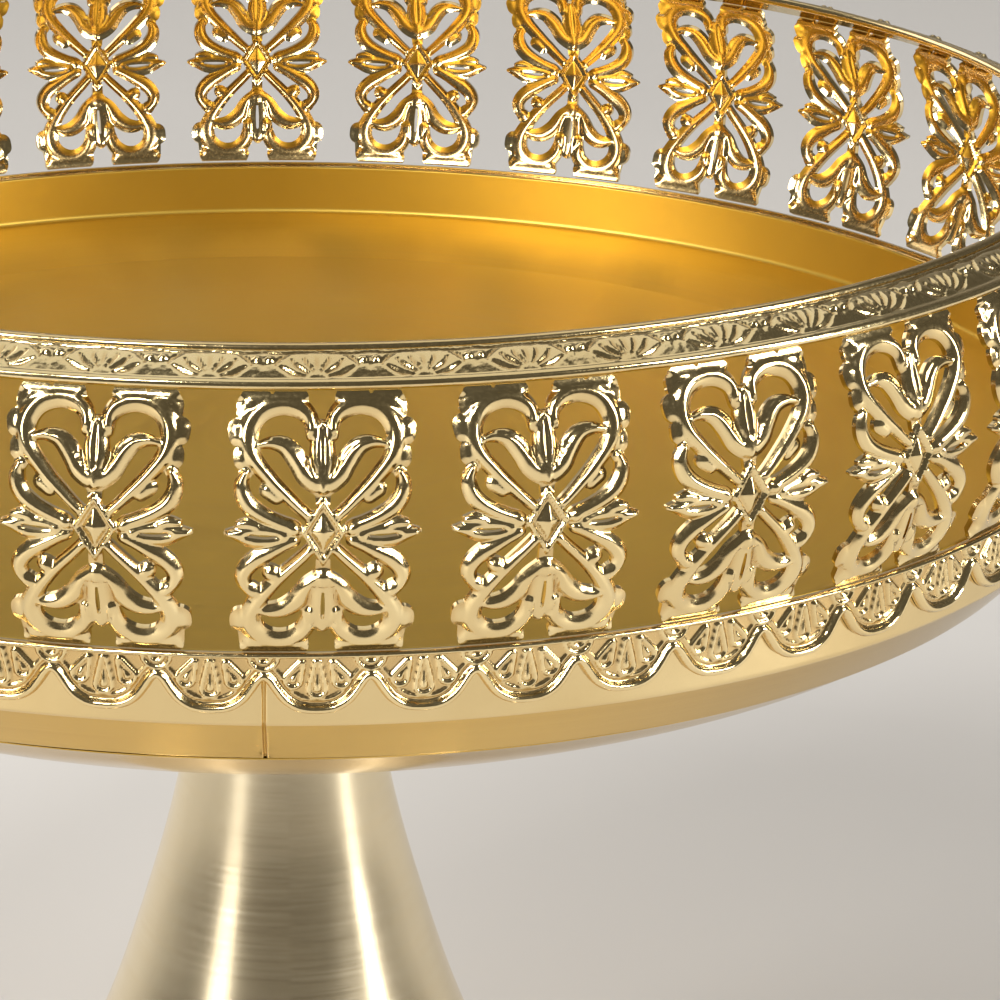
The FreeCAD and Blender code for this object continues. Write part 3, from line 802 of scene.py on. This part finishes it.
def gilt(name, deep, light, roughness, shade_recesses=True, grain=900.0):
    """Electroplated gold over cast brass: bright, with painted shade that darkens and warms its
    recesses.
    """
    r = Recipe(name)
    cloud = r.noise(38.0, 4.0)
    colour = r.ramp(cloud, (0.3, deep), (0.7, light))
    fleck = r.noise(2600.0, 2.0)
    if shade_recesses:
        # Painted shade: where the carried relief is low, the colour is multiplied towards dark amber
        # and the roughness is raised.
        shaded_recess = r.spread(r.attribute("relief"), 1.0, 0.0, 0.05, 0.55)
        colour = r.blend(r.sum(shaded_recess, 0.45, "MULTIPLY"), colour, (0.62, 0.40, 0.12, 1), "MULTIPLY")
        rough = r.sum(r.spread(fleck, roughness * 0.7, roughness * 1.5, 0.3, 0.7),
                      r.sum(shaded_recess, 0.10, "MULTIPLY"))
    else:
        rough = r.spread(fleck, roughness * 0.7, roughness * 1.5, 0.3, 0.7)
    skin = r.bump(r.noise(grain, 3.0), 0.00006, 0.35)
    skin = r.bump(r.noise(210.0, 2.0), 0.00025, 0.30, skin)
    r.feed(r.shader, Base_Color=colour, Roughness=rough, Normal=skin)
    r.shader.inputs["Metallic"].default_value = 1.0
    r.shader.inputs["Coat Weight"].default_value = 0.15
    r.shader.inputs["Coat Roughness"].default_value = 0.08
    return r.material


def spun(name, deep, light, roughness, ring_scale, bump_depth, coat=0.0, along="radius",
         anisotropic=0.0, blotch=6.0, pits=0.00002):
    """Sheet metal turned on a lathe: fine circular lines that follow the radius or the height."""
    r = Recipe(name)
    radius, level, angle = r.polar()
    travel = radius if along == "radius" else level
    line = r.feed(r.add("ShaderNodeCombineXYZ"), X=travel, Y=r.sum(angle, 0.0005, "MULTIPLY"), Z=0.0)
    rings = r.add("ShaderNodeTexNoise")
    r.feed(rings, Vector=line.outputs[0], Scale=ring_scale, Detail=4.0, Roughness=0.65)
    rings = rings.outputs["Fac"]
    cloud = r.noise(blotch, 3.0)
    tone = r.sum(r.sum(rings, 0.4, "MULTIPLY"), r.sum(cloud, 0.6, "MULTIPLY"))
    colour = r.ramp(tone, (0.36, deep), (0.62, light))
    handled = r.noise(55.0, 4.0)
    rough = r.sum(r.spread(rings, roughness * 0.9, roughness * 1.1, 0.3, 0.7),
                  r.spread(handled, -0.02, 0.03, 0.35, 0.75))
    skin = r.bump(rings, bump_depth, 0.5)
    skin = r.bump(r.noise(1500.0, 2.0), pits, 0.4, skin)
    r.feed(r.shader, Base_Color=colour, Roughness=rough, Normal=skin)
    r.shader.inputs["Metallic"].default_value = 1.0
    if anisotropic:
        r.shader.inputs["Anisotropic Rotation"].default_value = 0.25
        tangent = r.add("ShaderNodeTangent", direction_type="RADIAL", axis="Z")
        r.feed(r.shader, Tangent=tangent.outputs[0])
        r.shader.inputs["Anisotropic"].default_value = anisotropic
    if coat:
        r.shader.inputs["Coat Weight"].default_value = coat
        r.shader.inputs["Coat Roughness"].default_value = 0.06
        r.shader.inputs["Coat IOR"].default_value = 1.5
    return r.material


def rubber(name):
    r = Recipe(name)
    dust = r.noise(420.0, 4.0)
    colour = r.ramp(dust, (0.35, (0.016, 0.016, 0.017)), (0.75, (0.045, 0.043, 0.041)))
    skin = r.bump(r.noise(2400.0, 3.0), 0.00005, 0.6)
    r.feed(r.shader, Base_Color=colour, Roughness=r.spread(dust, 0.55, 0.85, 0.3, 0.7), Normal=skin)
    return r.material


def zinc(name, tone=1.0):
    """Zinc-plated steel with its faint spangle and a few handling marks."""
    r = Recipe(name)
    cells = r.add("ShaderNodeTexVoronoi")
    r.feed(cells, Vector=r.place, Scale=260.0)
    spangle = r.spread(cells.outputs["Distance"], 0.0, 1.0, 0.0, 0.9)
    low = tuple(tone * c for c in (0.44, 0.45, 0.46))
    high = tuple(tone * c for c in (0.66, 0.67, 0.67))
    colour = r.ramp(r.sum(r.sum(spangle, 0.5, "MULTIPLY"), r.sum(r.noise(120.0), 0.5, "MULTIPLY")),
                    (0.25, low), (0.75, high))
    skin = r.bump(r.noise(900.0, 3.0), 0.00008, 0.5)
    r.feed(r.shader, Base_Color=colour, Roughness=r.spread(r.noise(300.0), 0.28, 0.46, 0.3, 0.7),
           Normal=skin)
    r.shader.inputs["Metallic"].default_value = 1.0
    return r.material


polished = gilt("polished_gold_relief", (0.76, 0.585, 0.29), (0.86, 0.70, 0.385), 0.13)
polished_plain = gilt("polished_gold_band", (0.70, 0.525, 0.25), (0.79, 0.62, 0.325), 0.15,
                      shade_recesses=False)
matt = spun("matt_gold_spun", (0.60, 0.395, 0.06), (0.67, 0.455, 0.09), 0.46, 900.0, 0.000005)
# Painted reflection: a deeper amber copy of the gold for the downward-facing flange and the shell
# under the tray stands in for the gold foot mirrored in them; the clear coat is real.
lacquered = spun("lacquered_gold_spun", (0.58, 0.36, 0.055), (0.68, 0.45, 0.09), 0.16, 700.0, 0.000005,
                 coat=0.3)
satin = spun("satin_brass_turned", (0.90, 0.755, 0.50), (0.97, 0.85, 0.61), 0.22, 1500.0, 0.0000015,
             along="height", anisotropic=0.65, blotch=9.0, pits=0.000002)
steel = zinc("zinc_steel")
steel_dark = zinc("zinc_steel_fastener", 0.9)
black = rubber("black_rubber")


def dress(piece, material, slot, *nodes):
    piece.data.materials.clear()
    piece.data.materials.append(material)
    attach(piece, "root")
    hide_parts(*nodes)


for number, piece in enumerate(panels):
    dress(piece, polished, "polished_gold", f"openwork_panel_{number + 1:02d}")
dress(border, polished, "polished_gold", "scalloped_border")
dress(rail, polished, "polished_gold", "gallery_rail")
dress(rim, polished_plain, "polished_gold", "rim_wire")
dress(hoop, polished_plain, "polished_gold", "wall_hoop")
# The flange below the band takes the deeper amber copy of the same sheet's gold: painted reflection.
hoop.data.materials.append(lacquered)
for face in hoop.data.polygons:
    if face.center.z < (BAND_LEVEL - 0.3) * MM:
        face.material_index = 1
dress(pan, matt, "matt_gold", "tray_pan")
dress(underside, lacquered, "lacquered_gold", "bottom_shell")
dress(pedestal, satin, "satin_brass", "pedestal")
dress(foot_ring, steel, "zinc_steel", "foot_ring")
dress(gasket, black, "black_rubber", "neck_gasket")
dress(pads, black, "black_rubber", "foot_pads")

CARRIED = {
    "pedestal_cap": satin,
    "hub_plate": steel,
    "centre_stud": steel_dark,
    "flat_washer": steel,
    "spring_washer": steel_dark,
    "hex_nut": steel_dark,
}
for name, material in CARRIED.items():
    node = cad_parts[name]
    for place in node.material_slots:
        place.material = material

# ---------------------------------------------------------------- floor, light and camera


def floor_object():
    """A wide pale table top with a soft sweep up behind it."""
    reach = 6.0
    run = [(-reach, 0.0), (1.6, 0.0)]
    run += [(1.6 + 1.2 * math.sin(t), 1.2 - 1.2 * math.cos(t)) for t in np.linspace(0.1, 1.5, 15)]
    run += [(2.85, 5.0)]
    points = [(x, y, z) for y, z in run for x in (-reach, reach)]
    faces = [(2 * i, 2 * i + 1, 2 * i + 3, 2 * i + 2) for i in range(len(run) - 1)]
    return mesh_object("floor", points, faces)


floor = floor_object()
paint = Recipe("pale_floor")
mottle = paint.noise(3.0, 2.0)
pale = paint.ramp(mottle, (0.3, (0.66, 0.636, 0.61)), (0.7, (0.70, 0.676, 0.65)))
paint.feed(paint.shader, Base_Color=pale, Roughness=0.6)
floor.data.materials.append(paint.material)


def softbox(name, place, aim, width, height, power, colour=(1, 1, 1)):
    light = bpy.data.lights.new(name, "AREA")
    light.shape = "RECTANGLE"
    light.size, light.size_y = width, height
    light.energy = power
    light.color = colour
    lamp = bpy.data.objects.new(name, light)
    lamp.location = place
    lamp.rotation_mode = "QUATERNION"
    lamp.rotation_quaternion = (Vector(aim) - Vector(place)).to_track_quat("-Z", "Y")
    bpy.context.scene.collection.objects.link(lamp)
    return lamp


MIDDLE = (0.0, 0.0, 0.15)
softbox("key_left", (-1.35, -1.05, 1.15), MIDDLE, 0.5, 1.3, 33.0, (1.0, 0.985, 0.96))
softbox("fill_right", (1.7, -0.7, 0.9), MIDDLE, 0.36, 1.1, 22.0, (1.0, 0.99, 0.97))
softbox("top", (0.0, 0.6, 2.0), MIDDLE, 2.2, 1.6, 8.5, (1.0, 0.99, 0.97))
softbox("glint_left", (-0.55, -1.0, 1.5), MIDDLE, 0.26, 0.26, 7.0, (1.0, 0.99, 0.97))
softbox("glint_right", (1.1, -0.9, 1.0), MIDDLE, 0.22, 0.34, 6.0, (1.0, 0.99, 0.97))
softbox("back_left", (-1.3, 1.5, 1.2), MIDDLE, 1.3, 1.0, 8.0, (1.0, 0.98, 0.94))

world = bpy.data.worlds.new("studio")
bpy.context.scene.world = world
world.use_nodes = True
sky = world.node_tree.nodes["Background"]
sky.inputs["Color"].default_value = (0.80, 0.76, 0.66, 1)
sky.inputs["Strength"].default_value = 0.13

bpy.context.scene.view_settings.view_transform = "Standard"

# from a fit to points in the photograph: lengths in band radii, angles in radians
CAMERA_DISTANCE = 5.4334 * BAND_RADIUS * MM
CAMERA_TURN = 0.0378
CAMERA_HEIGHT = (BAND_LEVEL + 1.7517 * BAND_RADIUS) * MM
CAMERA_YAW, CAMERA_PITCH, CAMERA_ROLL = 0.0874, 0.3271, 0.0153
camera_data = bpy.data.cameras.new("camera")
camera_data.sensor_width = 36.0
camera_data.lens = 165.1
camera = bpy.data.objects.new("camera", camera_data)
bpy.context.scene.collection.objects.link(camera)
ahead = Vector((
    math.sin(CAMERA_YAW) * math.cos(CAMERA_PITCH),
    math.cos(CAMERA_YAW) * math.cos(CAMERA_PITCH),
    -math.sin(CAMERA_PITCH)))
right = Vector((math.cos(CAMERA_YAW), -math.sin(CAMERA_YAW), 0))
upward = right.cross(ahead)
turned_right = math.cos(CAMERA_ROLL) * right + math.sin(CAMERA_ROLL) * upward
turned_up = -math.sin(CAMERA_ROLL) * right + math.cos(CAMERA_ROLL) * upward
place = Vector((
    -CAMERA_DISTANCE * math.sin(CAMERA_TURN),
    -CAMERA_DISTANCE * math.cos(CAMERA_TURN),
    CAMERA_HEIGHT))
camera.matrix_world = Matrix((
    (turned_right.x, turned_up.x, -ahead.x, place.x),
    (turned_right.y, turned_up.y, -ahead.y, place.y),
    (turned_right.z, turned_up.z, -ahead.z, place.z),
    (0, 0, 0, 1)))
camera_data.clip_start, camera_data.clip_end = 0.01, 50
bpy.context.scene.camera = camera
